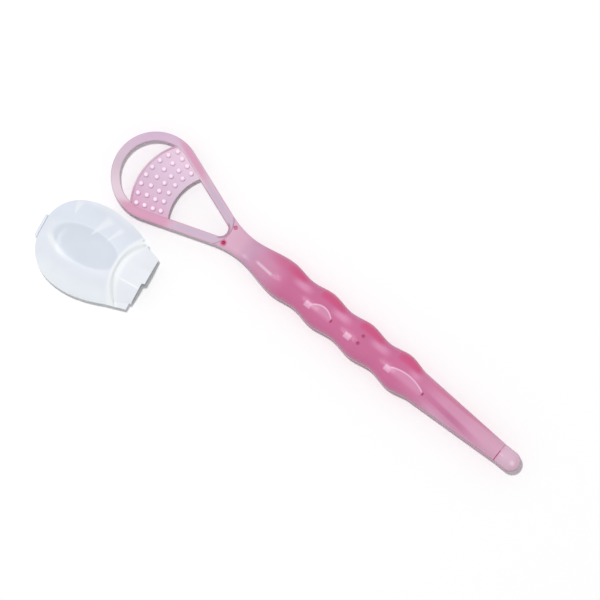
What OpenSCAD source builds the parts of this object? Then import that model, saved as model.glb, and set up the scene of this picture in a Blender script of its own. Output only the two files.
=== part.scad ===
// Tongue scraper with a ring head, a nubbed plate, a beaded grip and a hinged travel cap.
// Millimetres, +Z up. The origin is the ring's centre on the flat underside of the plate,
// +X runs along the grip to the tail, and the nubs face +Z. The flat head and neck run on
// at mid height of the grip, so scraper and cap rest on a surface at rest_z, below zero.

/* [Ring head] */
// Outer radius of the ring
ring_r = 15.1; // [13:0.1:17]
// Width of the ring's band
ring_band = 3.1; // [2.4:0.1:3.8]
// Width of each arm behind the plate
arm_w = 3.2; // [2.8:0.1:3.5]
// Angle between an arm and the centre line, in degrees
arm_angle = 19.5; // [18.8:0.1:20.5]
// Thickness of the ring and arms
frame_t = 2.4; // [2:0.1:2.8]
// Radius of the rear window's round end
window_end_r = 2.7; // [2.4:0.1:2.9]

/* [Plate and nubs] */
// Foremost point of the plate's front edge, ahead of the ring's centre
plate_front = 5.0; // [4:0.1:6]
// Foremost point of the plate's rear edge, behind the ring's centre
plate_rear = 9.7; // [8.8:0.1:10.5]
// Radius of the plate's front edge
plate_front_r = 22; // [20:0.5:26]
// Radius of the plate's rear edge
plate_rear_r = 17; // [15:0.5:20]
// Thickness of the plate under the pad
plate_t = 1.2; // [0.8:0.1:1.4]
// Height of the thin scraping lip along the plate's front edge
lip_h = 2.6; // [2.4:0.1:3]
// Width of the scraping lip
lip_w = 0.6; // [0.4:0.1:0.8]
// Thickness of the soft pad
pad_t = 1.0; // [0.6:0.1:1.1]
// Diameter of one nub
nub_d = 1.6; // [1.2:0.1:1.9]
// Height of one nub above the pad
nub_h = 1.7; // [1.2:0.1:2]
// Radius of the arcs that the nubs stand on
nub_row_r = 19; // [17:0.5:22]

/* [Neck joint] */
// Narrowest width of the neck
neck_w = 8.4; // [7.6:0.1:9.2]
// Thickness of the neck
neck_t = 3.3; // [3.1:0.1:3.8]
// Narrowest place of the neck, behind the ring's centre
neck_x = 38.5; // [37:0.5:40]
// Thickness of the head's tongue inside the neck
tongue_t = 1.5; // [1.2:0.1:1.7]
// Radius of each peg that pins the tongue
peg_r = 0.55; // [0.4:0.05:0.6]
// Distance of each peg from the centre line
peg_y = 3.2; // [3:0.1:3.3]

/* [Grip] */
// Width of a bead
bead_w = 13.5; // [12.5:0.1:14.5]
// Height of a bead
bead_h = 9.1; // [8.6:0.1:10]
// Width of the waist between two beads
waist_w = 11.2; // [10.4:0.1:12]
// Height of the waist between two beads
waist_h = 7.9; // [7.4:0.1:8.4]
// Place of the first bead, behind the ring's centre
bead_x = 54.7; // [53:0.1:57]
// Distance from one bead to the next
bead_pitch = 16.5; // [15:0.1:17]
// Width of the grip where the tail begins
tail_root_w = 10.8; // [10:0.1:11.4]
// Place of the seam between grip and tail plug, behind the ring's centre
tail_x = 147; // [142:0.5:152]
// Diameter of the tail
tail_d = 7.1; // [6.6:0.1:7.8]
// Radius of the hollow core
core_r = 2.2; // [1.8:0.1:2.5]
// Length of the plug's stem inside the core
stem_l = 7; // [5:0.5:10]

/* [Cap] */
// Width of the cap
cap_w = 31.8; // [31.6:0.1:34]
// Length of the cap from hinge to mouth
cap_l = 39.3; // [38:0.1:41]
// Height of the closed cap
cap_h = 7.9; // [7.4:0.1:8]
// Height of the lower shell
cap_part = 4.0; // [4:0.1:4.4]
// Thickness of the cap's walls
cap_wall = 0.6; // [0.5:0.05:0.7]
// Widest place of the cap, behind its hinge
cap_mid = 17.8; // [17.4:0.1:18.6]
// Thickness of the flanges beside the mouth
flange_t = 0.7; // [0.5:0.05:0.9]
// Radius of the living hinge's bead
hinge_r = 0.5; // [0.4:0.05:0.55]
// Width of the living hinge
hinge_w = 8; // [6:0.5:10]
// Gap between the cap and the ring that it lies beside
cap_gap = 2.4; // [1.5:0.1:6]
// Place of the cap's hinge along the grip's direction
cap_x = -18.9; // [-24:0.1:-17]
// Turn of the cap, in degrees
cap_turn = 9.9; // [6:0.1:12]

/* [Hidden] */

// One length by which every cut runs past the face that it opens
overrun = 1;
// Clearances between fixed pieces, round a pin, and between the closed shells
seat_gap = 0.05;
pin_gap = 0.03;
shell_gap = 0.05;
fine = 96;
round_fine = 32;

pink = [0.86, 0.45, 0.63];
pale_pink = [0.87, 0.70, 0.80];
lilac = [0.87, 0.76, 0.86];
deep_pink = [0.72, 0.20, 0.40];
milky = [0.89, 0.92, 0.96, 0.6];

// Neck joint: the window's end, the step where the neck's lip begins, and the tongue
window_end_x = (ring_r - arm_w - window_end_r) / sin(arm_angle);
step_rim = 1.05;
step_r = 8;
step_x = window_end_x + window_end_r + step_rim - step_r;
peg_back = 1.3;
peg_x = window_end_x + window_end_r + peg_back;
peg_recess = 0.25;
tongue_past_pegs = 1.4;
tongue_inset = 0.6;
tang_w = 4.4;
tang_l = 7;
handle_start_share = 0.15;
handle_x = window_end_x + handle_start_share * window_end_r;

// Grip: sections are rounded ovals about grip_mid, clipped flat under the neck and the beads
bead_count = 4;
bead_shares = [0.98, 1, 1, 1.02];
floor_dip = 0.1;
core_past_bead = 2;
core_x = bead_x + core_past_bead;
section_points = 40;
section_step = 1.55;
neck_corner = 4.2;
bead_corner = 2.25;
tail_corner = 2;
tail_fall = 8.3;
seam_groove_w = 0.5;
seam_groove_d = 0.25;
mark_r = 0.45;
mark_depth = 0.4;
mark_y = 1.5;
tail_end = 7.8;

// Nub rows from the front: crest place from the plate's front edge, nubs, and half span
row_place_shares = [0.136, 0.363, 0.59, 0.8];
row_nubs = [8, 7, 7, 6];
row_span_shares = [0.725, 0.66, 0.602, 0.534];
nub_root = 0.3;

// Cap: egg outline, dome with a flat oval face, shoulder arc, neck roof and flanges
egg_rear = 29;
egg_front_power = 2.35;
egg_rear_power = 1.6;
tip_flat = 0.3;
mouth_half = 11.2;
long_flange_back = 1.6;
short_flange_back = 5.2;
mouth_step = 1.0;
mouth_step_side = -1.1;
dome_edge = 1.0;
face_mid_share = 0.94;
face_rear = 24;
crown_share = 1.157;
crown_power = 4;
dome_power = 2.2;
shoulder_u = 30.2;
shoulder_r = 18.7;
shoulder_flare = 2.8;
head_room = 0.3;
neck_roof_h = 2.2;
ridge_half = 3.3;
base_round = 1.2;
wall_foot = 0.2;
station_shares = [0, 0.05, 0.09, 0.14, 0.2, 0.27, 0.34, 0.41, 0.48, 0.55, 0.61, 0.66,
                  0.695, 0.72, 0.745, 0.77, 0.795, 0.82, 0.85, 0.88, 0.91, 0.94, 0.97, 1];
slope_shares = [1 / 3, 2 / 3];
lines_each_side = 11;
line_count = 2 * lines_each_side + 1;
foot_line = 2;
neck_line = 4;
inner_line = 6;
shoulder_mid = shoulder_u + shoulder_r;
lid_low = cap_part + shell_gap;
face_mid = cap_mid * face_mid_share;
hinge_back = 0.6;
cap_y = -(ring_r + cap_gap + cap_w / 2) - cap_mid * sin(cap_turn);

// Eased and straight steps from one station to the next
function ease(t) = t * t * (3 - 2 * t);
function blend(a, b, t) = a + (b - a) * t;
function clip(t) = min(1, max(0, t));

// The grip's stations: place, half width, half height, corner power, eased (1) or straight (0)
function bead_station(i) =
    [bead_x + i * bead_pitch, bead_w * bead_shares[i] / 2, bead_h / 2 + floor_dip / 2,
     bead_corner, 1];
function waist_station(i) =
    [bead_x + (i + 0.5) * bead_pitch, waist_w / 2, waist_h / 2, bead_corner, 1];
grip_stations = concat(
    [[handle_x, neck_w / 2, neck_t / 2 + floor_dip / 2, neck_corner, 1],
     [neck_x, neck_w / 2, neck_t / 2 + floor_dip / 2, neck_corner, 1]],
    [for (i = [0 : 2 * bead_count - 2])
        i % 2 == 0 ? bead_station(i / 2) : waist_station((i - 1) / 2)],
    [[bead_x + (bead_count - 1) * bead_pitch + tail_fall, tail_root_w / 2,
      waist_h / 2, bead_corner, 0],
     [tail_x, tail_d / 2, tail_d / 2, tail_corner, 0]]);
grip_mid = (neck_t - floor_dip) / 2;
rest_z = grip_mid - (bead_h - floor_dip) / 2;

function station_after(x, i = 1) =
    i == len(grip_stations) - 1 || x <= grip_stations[i][0] ? i : station_after(x, i + 1);
function grip_step(x, i) =
    let (a = grip_stations[i - 1], t = clip((x - a[0]) / (grip_stations[i][0] - a[0])))
    a[4] == 1 ? ease(t) : t;
function grip_at(x, column) =
    let (i = station_after(x))
    blend(grip_stations[i - 1][column], grip_stations[i][column], grip_step(x, i));

// Half width of the neck, which runs on from the outer edges of the arms
function root_half(x) =
    let (length = neck_x - handle_x, t = (x - handle_x) / length,
         wider = head_half(0, handle_x) - neck_w / 2)
    neck_w / 2 + wider * (1 - ease(t)) - length * tan(arm_angle) * t * pow(1 - t, 2);
function grip_half(x) = x < neck_x ? root_half(x) : grip_at(x, 1);

function signed_power(v, p) = sign(v) * pow(abs(v), p);
function grip_section(x) =
    let (p = 2 / grip_at(x, 3), low = x < neck_x ? 0 : rest_z)
    [for (i = [0 : section_points - 1])
        let (a = 360 * i / section_points)
        [x, grip_half(x) * signed_power(cos(a), p),
         max(low, grip_mid + grip_at(x, 2) * signed_power(sin(a), p))]];

// A closed solid through rings of points that all have the same count
module loft(rings) {
    n = len(rings[0]);
    last = len(rings) - 1;
    points = [for (ring = rings) each ring];
    sides = [for (k = [0 : last - 1]) for (i = [0 : n - 1])
        let (a = k * n + i, b = k * n + (i + 1) % n)
        each [[a, b, b + n], [a, b + n, a + n]]];
    first_end = [for (i = [n - 1 : -1 : 0]) i];
    last_end = [for (i = [0 : n - 1]) last * n + i];
    polyhedron(points, concat([first_end], sides, [last_end]));
}

module grip_body() {
    steps = ceil((tail_x - handle_x) / section_step);
    loft([for (k = [0 : steps]) grip_section(blend(handle_x, tail_x, k / steps))]);
}

// The head's outline, moved inwards by inset: a circle with two straight sides to end_x
function head_half(inset, x) = (ring_r - inset - x * sin(arm_angle)) / cos(arm_angle);
module head_outline(inset, end_x) {
    r = ring_r - inset;
    end_y = head_half(inset, end_x);
    circle(r, $fn = fine);
    polygon([[r * sin(arm_angle), r * cos(arm_angle)], [end_x, end_y],
             [end_x, -end_y], [r * sin(arm_angle), -r * cos(arm_angle)]]);
}

// The open space inside ring and arms, which the plate crosses
module head_inside() {
    circle(ring_r - ring_band, $fn = fine);
    head_arms_inside();
    translate([window_end_x, 0]) circle(window_end_r, $fn = round_fine);
}
module head_arms_inside() {
    r = ring_r - arm_w;
    touch_x = window_end_x + window_end_r * sin(arm_angle);
    touch_y = window_end_r * cos(arm_angle);
    polygon([[r * sin(arm_angle), r * cos(arm_angle)], [touch_x, touch_y],
             [touch_x, -touch_y], [r * sin(arm_angle), -r * cos(arm_angle)]]);
}

// The crescent between the plate's two edges, with the front edge moved inwards by inset
module crescent(inset) {
    difference() {
        front_disc(inset);
        translate([plate_rear + plate_rear_r, 0]) circle(plate_rear_r, $fn = 2 * fine);
    }
}
module front_disc(inset) {
    translate([plate_front_r - plate_front, 0]) circle(plate_front_r - inset, $fn = 2 * fine);
}

// The head's root and tongue, seen from above, grown by gap
module tongue_outline(gap) {
    wide_end = peg_x + tongue_past_pegs;
    head_outline(tongue_inset - gap, wide_end + gap);
    translate([wide_end, -tang_w / 2 - gap])
        square([tang_l + gap, tang_w + 2 * gap]);
}
module step_disc(gap, height) {
    translate([step_x, 0, -overrun])
        cylinder(h = height + 2 * overrun, r = step_r + gap, $fn = fine);
}
module peg_places() {
    for (side = [-1, 1])
        translate([peg_x, side * peg_y, 0]) children();
}

module handle() {
    color(pink)
    difference() {
        grip_body();
        step_disc(seat_gap, neck_t);
        translate([0, 0, -overrun])
            linear_extrude(overrun + tongue_t + seat_gap) tongue_outline(seat_gap);
        translate([0, 0, -overrun])
            peg_places() cylinder(h = neck_t + 2 * overrun, r = peg_r + pin_gap,
                                  $fn = round_fine);
        translate([core_x, 0, grip_mid]) rotate([0, 90, 0])
            cylinder(h = tail_x - core_x + overrun, r = core_r, $fn = round_fine);
        for (side = [-1, 1])
            translate([bead_x + 2 * bead_pitch, side * mark_y, rest_z + bead_h - mark_depth])
                cylinder(h = mark_depth + overrun, r = mark_r, $fn = round_fine);
    }
}

module tail_plug() {
    color(pink)
    translate([tail_x, 0, grip_mid]) rotate([0, 90, 0]) {
        translate([0, 0, -stem_l])
            cylinder(h = stem_l + seam_groove_w, r = core_r - pin_gap, $fn = round_fine);
        translate([0, 0, seat_gap])
            cylinder(h = seam_groove_w, r = tail_d / 2 - seam_groove_d, $fn = fine);
        translate([0, 0, seam_groove_w])
            rotate_extrude($fn = fine) tail_profile();
    }
}
// Half outline of the tail's round end, from the seam to the tip
module tail_profile() {
    r = tail_d / 2;
    square([r, tail_end - r]);
    intersection() {
        translate([0, tail_end - r]) circle(r, $fn = fine);
        translate([0, tail_end - r]) square([r, r]);
    }
}

module head_frame() {
    color(pale_pink)
    difference() {
        union() {
            linear_extrude(frame_t)
                difference() {
                    intersection() {
                        head_outline(0, peg_x + tongue_past_pegs);
                        union() {
                            translate([step_x, 0]) circle(step_r, $fn = fine);
                            translate([-ring_r, -ring_r])
                                square([ring_r + window_end_x, 2 * ring_r]);
                        }
                    }
                    head_inside();
                }
            linear_extrude(tongue_t)
                difference() {
                    tongue_outline(0);
                    head_inside();
                }
            linear_extrude(plate_t)
                intersection() {
                    crescent(0);
                    head_outline(ring_band / 2, window_end_x);
                }
            linear_extrude(lip_h)
                intersection() {
                    head_outline(ring_band / 2, window_end_x);
                    difference() {
                        crescent(0);
                        front_disc(lip_w);
                    }
                }
        }
        translate([0, 0, -overrun])
            peg_places() cylinder(h = neck_t + 2 * overrun, r = peg_r + pin_gap,
                                  $fn = round_fine);
    }
}

module neck_pegs() {
    color(deep_pink)
    peg_places() cylinder(h = neck_t - peg_recess, r = peg_r, $fn = round_fine);
}

// One row of nubs on an arc whose foremost point is at crest
module nub_row(crest, nubs, half_span) {
    fan = asin(half_span / nub_row_r);
    translate([crest + nub_row_r, 0, plate_t + pad_t - nub_root])
        for (i = [0 : nubs - 1])
            rotate(180 - fan + 2 * fan * i / (nubs - 1))
                translate([nub_row_r, 0, 0]) nub();
}
module nub() {
    straight = nub_root + nub_h - nub_d / 2;
    cylinder(h = straight, r = nub_d / 2, $fn = round_fine);
    translate([0, 0, straight]) sphere(nub_d / 2, $fn = round_fine);
}

module nub_pad() {
    color(lilac) {
        translate([0, 0, plate_t + seat_gap])
            linear_extrude(pad_t - seat_gap)
                intersection() {
                    crescent(lip_w + seat_gap);
                    head_pad_inside();
                }
        for (i = [0 : len(row_nubs) - 1])
            nub_row(blend(-plate_front, plate_rear, row_place_shares[i]), row_nubs[i],
                    ring_r * row_span_shares[i]);
    }
}
// The space inside ring and arms that the pad fills
module head_pad_inside() {
    head_outline(max(ring_band, arm_w) + seat_gap, window_end_x);
}

// The cap in its own frame: u from the hinge to the mouth, v across, the hinge at zero.
// Half width of the egg outline, which runs into straight sides towards the mouth.
function egg_half(u) =
    let (front = u < cap_mid,
         reach = front ? cap_mid + tip_flat : egg_rear,
         p = front ? egg_front_power : egg_rear_power)
    cap_w / 2 * pow(1 - pow(min(1, abs(u - cap_mid) / reach), p), 1 / p);
function edge_half(u) =
    u < cap_mid ? egg_half(u)
    : max(egg_half(u), blend(cap_w / 2, mouth_half, (u - cap_mid) / (cap_l - cap_mid)));
// Half width of the cap's neck, wide enough for the arms of the head inside
function neck_half(u) =
    let (x = u - cap_wall - head_room - ring_r, foot = edge_half(u) - cap_wall - 2 * wall_foot,
         wide = (ring_r + head_room + cap_wall - x * sin(arm_angle)) / cos(arm_angle))
    min(wide, foot - wall_foot);
function inner_half(u) = neck_half(u) - cap_wall - wall_foot;
function ridge_at(u) = min(ridge_half, inner_half(u) / 2);

// Lines across the cap at u, from the right edge to the centre: wall, wall's foot, dome,
// neck line, neck wall's foot, roof slope and ridge. The left side mirrors them.
function half_lines(u) =
    let (edge = edge_half(u), foot = edge - cap_wall - wall_foot, neck = neck_half(u),
         inner = inner_half(u), ridge = ridge_at(u))
    [edge, edge - cap_wall, foot, (foot + neck) / 2, neck, neck - cap_wall, inner,
     blend(inner, ridge, slope_shares[0]), blend(inner, ridge, slope_shares[1]),
     ridge, ridge / 2];
function cross_lines(u) =
    let (half = half_lines(u))
    concat(half, [0], [for (i = [lines_each_side - 1 : -1 : 0]) -half[i]]);
function depth_of(i) = min(i, line_count - 1 - i);

// Stations from hinge to mouth: through the tip's wall first, then by shares
cap_us = concat([0, cap_wall / 2, cap_wall],
                [for (share = station_shares) blend(cap_wall + wall_foot, cap_l, share)]);
// How far a line is drawn back from the mouth: flanges and one half of the neck end sooner
function mouth_back(i, v) =
    let (outside = depth_of(i) < neck_line)
    outside ? (i < line_count / 2 ? short_flange_back : long_flange_back)
            : (v < mouth_step_side ? mouth_step : 0);
function cap_u(u, i, v) =
    let (t = clip((u - shoulder_u) / (cap_l - shoulder_u)))
    u - mouth_back(i, v) * t;

// Where a point is: in front of the shoulder's arc, and over a hollow or a wall
function before_shoulder(u, v, wall) = norm([u - shoulder_mid, v]) > shoulder_r + wall;
function is_hollow(u, v, i) =
    u > cap_wall + wall_foot / 2
    && depth_of(i) >= (before_shoulder(u, v, cap_wall) ? foot_line : inner_line);

// Heights of the lid's outside and of the lower shell's underside
function crown_at(u) =
    let (d = abs(u - face_mid) / (u < face_mid ? face_mid : face_rear))
    (cap_h - lid_low - dome_edge) * crown_share * (1 - pow(min(1, d), crown_power));
function dome_z(u, v) =
    lid_low + dome_edge
    + crown_at(u) * (1 - pow(min(1, abs(v) / edge_half(u)), dome_power));
function shoulder_z(u, v) =
    cap_part + flange_t
    + (norm([u - shoulder_mid, v]) - shoulder_r) * (cap_h - cap_part) / shoulder_flare;
function roof_z(u, v) =
    let (eave = cap_part + flange_t, ridge = ridge_at(u),
         t = clip((neck_half(u) - abs(v)) / (neck_half(u) - ridge)))
    before_shoulder(u, v, cap_wall + shoulder_flare) ? 0 : eave + neck_roof_h * t;
function lid_z(u, v) = max(min(cap_h, dome_z(u, v), shoulder_z(u, v)), roof_z(u, v));
function rounded(distance) = base_round * pow(1 - clip(distance / base_round), 2);
function tray_z(u, v, i) =
    before_shoulder(u, v, 0) ? rounded(min(edge_half(u) - abs(v), u))
    : depth_of(i) < neck_line ? cap_part - flange_t : rounded(neck_half(u) - abs(v));

// A closed shell between two sheets of points that lie in the same grid
module thick_sheet(upper, lower) {
    rows = len(upper);
    n = len(upper[0]);
    count = rows * n;
    points = concat([for (row = upper) each row], [for (row = lower) each row]);
    top = [for (k = [0 : rows - 2]) for (i = [0 : n - 2])
        let (a = k * n + i) each [[a, a + 1, a + n + 1], [a, a + n + 1, a + n]]];
    bottom = [for (face = top) [face[2] + count, face[1] + count, face[0] + count]];
    front = [for (i = [0 : n - 2])
        each [[i, i + count, i + 1 + count], [i, i + 1 + count, i + 1]]];
    back = [for (i = [0 : n - 2])
        let (a = (rows - 1) * n + i)
        each [[a, a + 1, a + 1 + count], [a, a + 1 + count, a + count]]];
    sides = [for (k = [0 : rows - 2])
        let (a = k * n, b = a + n - 1)
        each [[a, a + n, a + n + count], [a, a + n + count, a + count],
              [b, b + count, b + n + count], [b, b + n + count, b + n]]];
    polyhedron(points, concat(top, bottom, front, back, sides));
}

module cap_place() {
    translate([cap_x, cap_y, rest_z]) rotate(cap_turn) children();
}

module cap_base() {
    upper = [for (u = cap_us)
        let (lines = cross_lines(u))
        [for (i = [0 : line_count - 1])
            let (v = lines[i])
            [cap_u(u, i, v), v, is_hollow(u, v, i) ? tray_z(u, v, i) + cap_wall : cap_part]]];
    lower = [for (u = cap_us)
        let (lines = cross_lines(u))
        [for (i = [0 : line_count - 1])
            let (v = lines[i]) [cap_u(u, i, v), v, tray_z(u, v, i)]]];
    color(milky) cap_place() thick_sheet(upper, lower);
}

module cap_lid() {
    upper = [for (u = cap_us)
        let (lines = cross_lines(u))
        [for (i = [0 : line_count - 1])
            let (v = lines[i]) [cap_u(u, i, v), v, lid_z(u, v)]]];
    lower = [for (u = cap_us)
        let (lines = cross_lines(u))
        [for (i = [0 : line_count - 1])
            let (v = lines[i])
            [cap_u(u, i, v), v, is_hollow(u, v, i) ? lid_z(u, v) - cap_wall : lid_low]]];
    color(milky) cap_place() thick_sheet(upper, lower);
}

module cap_hinge() {
    color(milky) cap_place()
    translate([-hinge_back, hinge_w / 2, cap_part]) rotate([90, 0, 0])
        cylinder(h = hinge_w, r = hinge_r, $fn = round_fine);
}

handle();
tail_plug();
head_frame();
neck_pegs();
nub_pad();
cap_base();
cap_lid();
cap_hinge();
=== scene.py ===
import math

import bmesh
import bpy
import numpy as np
from mathutils import Matrix, Vector


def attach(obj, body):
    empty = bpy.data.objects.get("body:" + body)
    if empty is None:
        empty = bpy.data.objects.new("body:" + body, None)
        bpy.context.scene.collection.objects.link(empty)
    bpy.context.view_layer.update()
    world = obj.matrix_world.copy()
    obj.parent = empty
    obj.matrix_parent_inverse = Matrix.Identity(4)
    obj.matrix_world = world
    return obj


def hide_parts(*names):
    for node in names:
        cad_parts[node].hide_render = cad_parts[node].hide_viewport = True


# Tongue scraper with a travel cap. Lengths are in millimetres until a mesh is made.
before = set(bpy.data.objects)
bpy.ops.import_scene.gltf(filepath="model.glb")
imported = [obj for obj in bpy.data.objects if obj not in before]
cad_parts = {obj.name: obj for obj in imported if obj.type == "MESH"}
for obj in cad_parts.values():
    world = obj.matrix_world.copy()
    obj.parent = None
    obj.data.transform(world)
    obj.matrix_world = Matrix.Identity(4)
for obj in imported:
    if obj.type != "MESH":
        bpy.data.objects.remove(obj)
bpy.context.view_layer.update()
MM = 0.001

# Head: ring and arms, and the step where the neck's lip begins
RING_R = 15.1
RING_BAND = 3.1
RING_EDGE = 0.4
ARM_W = 3.2
ARM_ANGLE = math.radians(19.5)
TOUCH_ANGLE = math.pi / 2 - ARM_ANGLE
HOLE_TURN = 0.06
FRAME_T = 2.4
WINDOW_END_R = 2.7
WINDOW_END_X = (RING_R - ARM_W - WINDOW_END_R) / math.sin(ARM_ANGLE)
WINDOW_REAR = WINDOW_END_X + WINDOW_END_R
STEP_R = 8
STEP_BAND = 1.05
STEP_X = WINDOW_REAR + STEP_BAND - STEP_R

# Plate with its lip and its pad
PLATE_FRONT = 5.0
PLATE_REAR = 9.7
PLATE_FRONT_R = 22
PLATE_REAR_R = 17
PLATE_FRONT_MID = PLATE_FRONT_R - PLATE_FRONT
PLATE_REAR_MID = PLATE_REAR + PLATE_REAR_R
PLATE_T = 1.2
PLATE_EDGE = 0.1
LIP_H = 2.6
LIP_W = 0.6
LIP_EDGE = 0.2
LIP_ROOT = 0.4
PAD_T = 1.0
PAD_EDGE = 0.12
PAD_ROOT = 0.25

# Nubs
NUB_D = 1.6
NUB_H = 1.7
NUB_ROOT = 0.3
NUB_ROW_R = 19
# foot points: how far beyond the nub's side, and how high
NUB_FOOT = [(0.16, 0), (0.16, 0.2), (0.04, 0.36), (0, 0.5)]
# rows from the front, each with its place, its count and its half span
NUB_ROWS = [(0.136, 8, 0.725), (0.363, 7, 0.66), (0.59, 7, 0.602), (0.8, 6, 0.534)]

# Neck joint
NECK_W = 8.4
NECK_T = 3.3
NECK_X = 38.5
TONGUE_T = 1.5
TONGUE_INSET = 0.6
TANG_W = 4.4
TANG_L = 7
PEG_R = 0.55
PEG_BACK = 1.3
PEG_X = WINDOW_REAR + PEG_BACK
PEG_Y = 3.2
PEG_SINK = 0.25
PEG_TOP = NECK_T - PEG_SINK
PEG_MARGIN = 1.4
WIDE_END = PEG_X + PEG_MARGIN
SEAT_GAP = 0.05
FIT_GAP = 0.03
CUT_OVER = 1
# rounding of the pegs' tops: how far in from the side, and how far down from the top
PEG_ROUNDING = [(0, 0.15), (0.06, 0.05), (0.2, 0)]

# Grip
BEAD_W = 13.5
BEAD_H = 9.1
BEAD_SHARES = [0.98, 1, 1, 1.02]
WAIST_W = 11.2
WAIST_H = 7.9
BEAD_X = 54.7
BEAD_PITCH = 16.5
# corner powers: 2 makes a round section, and a larger number a squarer one
NECK_CORNER = 4.2
BEAD_CORNER = 2.25
TAIL_CORNER = 2
FLOOR_DIP = 0.1
GRIP_MID = (NECK_T - FLOOR_DIP) / 2
REST_Z = GRIP_MID + FLOOR_DIP / 2 - BEAD_H / 2
HANDLE_LEAD = 0.15 * WINDOW_END_R
HANDLE_X = WINDOW_END_X + HANDLE_LEAD
CORE_R = 2.2
CORE_LEAD = 2
CORE_X = BEAD_X + CORE_LEAD
MARK_R = 0.45
MARK_DEPTH = 0.45
MARK_X = BEAD_X + 2 * BEAD_PITCH
MARK_Y = 1.5

# Tail with the groove at its seam
TAIL_ROOT_W = 10.8
TAIL_FALL = 8.3
TAIL_X = 147
TAIL_D = 7.1
TAIL_END = 8.3
STEM_L = 7
STEM_EDGE = 0.2
GROOVE_DEPTH = 0.12
GROOVE_END = 0.35
GROOVE_FLANK = 0.1

# Cap: its place beside the head and its outline
CAP_W = 31.8
CAP_L = 39.3
CAP_H = 7.9
CAP_PART = 4.0
CAP_WALL = 0.6
CAP_MID = 17.8
CAP_FRONT = CAP_MID + 0.3
CAP_FRONT_POWER = 2.35
CAP_REAR = 29
CAP_REAR_POWER = 1.6
CAP_GAP = 2.4
CAP_TURN = math.radians(9.9)
CAP_X = -18.9
CAP_Y = -(RING_R + CAP_GAP + CAP_W / 2) - CAP_MID * math.sin(CAP_TURN)
CAP_SPOT = (CAP_X, CAP_Y, REST_Z)
CAP_PLACE = Matrix.Translation(CAP_SPOT) @ Matrix.Rotation(CAP_TURN, 4, "Z")

# Cap: shoulder, neck and mouth
SHOULDER_U = 30.2
SHOULDER_R = 18.7
SHOULDER_MID = SHOULDER_U + SHOULDER_R
SHOULDER_FLARE = 2.8
HEAD_ROOM = 0.3
WALL_FOOT = 0.2
RIDGE_HALF = 3.3
NECK_ROOF_H = 2.2
FLANGE_T = 0.7
MOUTH_HALF = 11.2
LONG_DRAW = 5.2
SHORT_DRAW = 1.6
STEP_DRAW = 1.0
MOUTH_STEP_V = -1.1

# Cap: the lid's dome, how its faces blend, and the base's rounding
LID_RIM = CAP_PART + SEAT_GAP
SKIRT_H = 1
FACE_MID = CAP_MID * 0.94
FACE_REAR = 24
FACE_SWELL = 1.157
FACE_LENGTH_POWER = 4
FACE_WIDTH_POWER = 2.2
FACE_BLEND = 0.25
SHOULDER_BLEND = 0.3
NECK_BLEND = 0.2
BASE_ROUND = 1.2

# Fineness: steps along a length, sides of round pieces and points on arcs
GRIP_STEPS = 280
GRIP_SIDES = 96
HOLE_SIDES = 48
STEP_SIDES = 128
TAIL_SIDES = 72
PEG_SIDES = 40
NUB_SIDES = 28
RING_ARC = 120
HOLE_ARC = 110
STEP_ARC = 32
WINDOW_ARC = 28
PLATE_ARC = 48
PLATE_SIDE_ARC = 24
LIP_ARC = 64
TAIL_ARC = 24
NUB_ARC = 12
CAP_STEPS = 120
LINE_SPLITS = 8
MEET_STEPS = 400
SEARCH_STEPS = 2000
FRONT_SEARCH_END = 0.5
REAR_SEARCH_END = 0.2
EDGE_STEPS = 3
RING_EDGE_STEPS = 4

# Meshes: the distance at which points merge, and the angles that stay sharp
MERGE_M = 1e-7
SHARP_ANGLE = 35
CAP_SHARP_ANGLE = 40
LEVEL_NORMAL = 0.9999


def mesh_object(name, points, faces, body=None, slot=None, place=None):
    """A new piece from points in millimetres; a body is given to pieces that ride it."""
    mesh = bpy.data.meshes.new(name)
    mesh.from_pydata([tuple(p) for p in points], [], faces)
    mesh.transform(Matrix.Scale(MM, 4) @ (place or Matrix.Identity(4)))
    piece = bpy.data.objects.new(name, mesh)
    bpy.context.scene.collection.objects.link(piece)
    if body:
        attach(piece, body)
    return piece


def soften(piece, angle=SHARP_ANGLE, level_apart=False):
    """Smooth shading that keeps edges sharper than angle, and level faces apart if asked."""
    def level(face):
        return level_apart and abs(face.normal.z) > LEVEL_NORMAL
    bm = bmesh.new()
    bm.from_mesh(piece.data)
    bmesh.ops.remove_doubles(bm, verts=bm.verts, dist=MERGE_M)
    bmesh.ops.recalc_face_normals(bm, faces=bm.faces)
    for face in bm.faces:
        face.smooth = True
    for edge in bm.edges:
        two = edge.link_faces
        edge.smooth = (len(two) == 2 and edge.calc_face_angle(0) < math.radians(angle)
                       and level(two[0]) == level(two[1]))
    bm.to_mesh(piece.data)
    bm.free()


def paint(piece, material):
    piece.data.materials.clear()
    piece.data.materials.append(material)


def apply_modifiers(piece):
    evaluated = piece.evaluated_get(bpy.context.evaluated_depsgraph_get())
    mesh = bpy.data.meshes.new_from_object(evaluated)
    piece.modifiers.clear()
    piece.data = mesh


def combine(piece, others, operation):
    """Booleans piece with the other objects, which are then removed."""
    for other in others:
        cut = piece.modifiers.new("cut", "BOOLEAN")
        cut.operation = operation
        cut.solver = "EXACT"
        cut.object = other
    apply_modifiers(piece)
    for other in others:
        bpy.data.objects.remove(other)


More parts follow.
